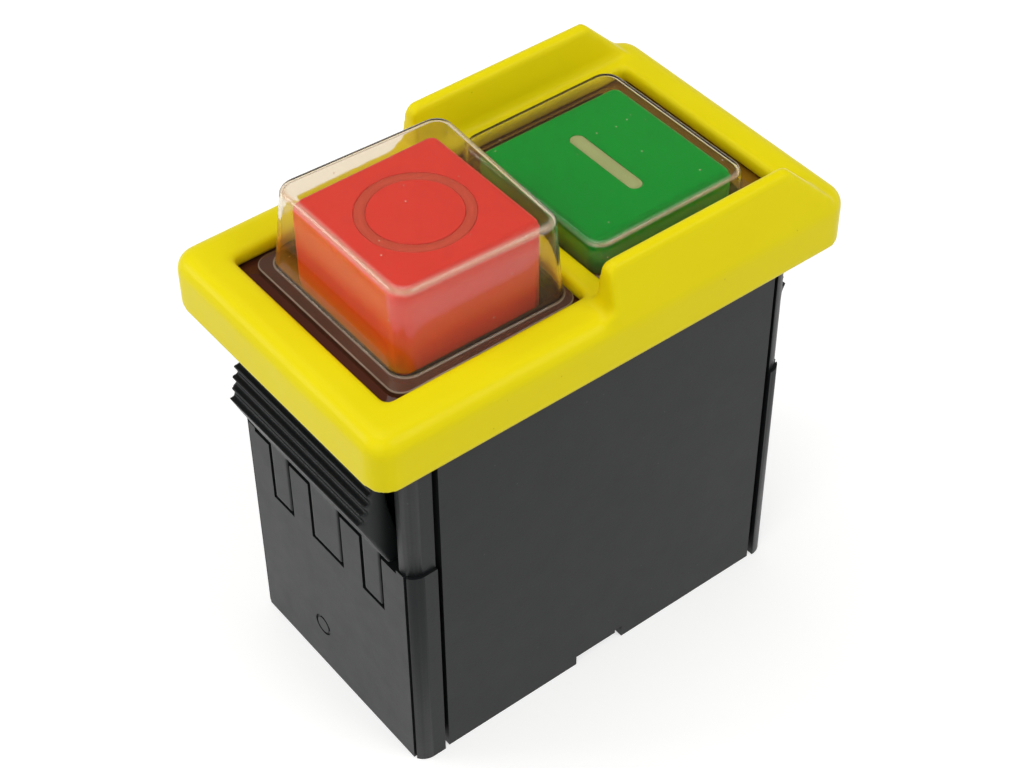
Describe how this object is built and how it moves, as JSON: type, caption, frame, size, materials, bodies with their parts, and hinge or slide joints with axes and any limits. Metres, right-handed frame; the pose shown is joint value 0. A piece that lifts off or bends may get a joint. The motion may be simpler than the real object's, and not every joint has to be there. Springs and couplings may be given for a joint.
{
  "type": "power tool switch",
  "caption": "Panel-mounted no-volt push-button switch: yellow guarded frame, raised red stop and low green start button under clear boots, black snap-in body.",
  "frame": {"origin": "middle of the underside of the part's box, under the body's open lower end", "axes": "+Z out of the panel through the buttons, +X along the frame from the stop button to the start button, +Y across the frame"},
  "size_m": [0.0524, 0.0316, 0.0546],
  "materials": {
    "yellow_plastic": "moulded, soft gloss",
    "black_plastic": "moulded, satin",
    "clear_pvc": "clear soft cover, glossy",
    "red_plastic": "moulded, gloss",
    "green_plastic": "moulded, gloss",
    "spring_steel": "drawn wire",
    "contact_brass": "stamped strip",
    "silver_alloy": "silver alloy",
    "ivory_plastic": "moulded, matte",
    "core_steel": "laminated steel",
    "copper_wire": "enamelled copper",
    "lead_sleeve": "insulated lead"
  },
  "bodies": {
    "housing": {"bezel": "yellow_plastic", "upper_housing": "black_plastic", "base_housing": "black_plastic", "stop_boot": "clear_pvc", "start_boot": "clear_pvc", "stop_spring": "spring_steel", "start_spring": "spring_steel", "carriage_spring_front": "spring_steel", "carriage_spring_back": "spring_steel", "stop_contact_front": "contact_brass", "stop_contact_back": "contact_brass", "line_terminal_front": "contact_brass", "line_terminal_back": "contact_brass", "load_terminal_front": "contact_brass", "load_terminal_back": "contact_brass", "line_tip_front": "silver_alloy", "line_tip_back": "silver_alloy", "load_tip_front": "silver_alloy", "load_tip_back": "silver_alloy", "coil_bobbin": "ivory_plastic", "magnet_yoke": "core_steel", "coil_winding": "copper_wire", "coil_lead_hold": "lead_sleeve", "coil_lead_stop": "lead_sleeve", "coil_lead_load": "lead_sleeve"},
    "stop": {"stop_button": "red_plastic", "stop_bridge": "contact_brass", "stop_bridge_tips": "silver_alloy"},
    "start": {"start_button": "green_plastic"},
    "carriage": {"contact_carriage": "ivory_plastic", "armature": "core_steel", "bridge_front": "contact_brass", "bridge_back": "contact_brass", "bridge_tips_front": "silver_alloy", "bridge_tips_back": "silver_alloy", "bridge_spring_front": "spring_steel", "bridge_spring_back": "spring_steel"},
    "latch_at_stop": {"latch_stop_end": "black_plastic"},
    "latch_at_start": {"latch_start_end": "black_plastic"}
  },
  "joints": [
    {"name": "stop_press", "type": "slide", "parent": "housing", "child": "stop", "axis": [0, 0, -1], "range_m": [0, 0.0035], "stiffness_N_per_m": 1100, "springref_m": -0.004, "deforming": ["stop_spring", "stop_boot"]},
    {"name": "start_press", "type": "slide", "parent": "housing", "child": "start", "axis": [0, 0, -1], "range_m": [0, 0.003], "stiffness_N_per_m": 700, "springref_m": -0.003, "deforming": ["start_spring", "start_boot"]},
    {"name": "carriage_slide", "type": "slide", "parent": "housing", "child": "carriage", "axis": [0, 0, -1], "range_m": [0, 0.003], "stiffness_N_per_m": 300, "springref_m": -0.003, "deforming": ["carriage_spring_front", "carriage_spring_back"]},
    {"name": "latch_flex_stop", "type": "hinge", "parent": "housing", "child": "latch_at_stop", "pos_m": [-0.0197, 0, 0.0181], "axis": [0, 1, 0], "range_deg": [0, 11], "stiffness_Nm_per_rad": 0.6},
    {"name": "latch_flex_start", "type": "hinge", "parent": "housing", "child": "latch_at_start", "pos_m": [0.0197, 0, 0.0181], "axis": [0, -1, 0], "range_deg": [0, 11], "stiffness_Nm_per_rad": 0.6}
  ],
  "couplings": [
    {"joint": "carriage_slide", "follows": "start_press", "ratio": 1}
  ]
}
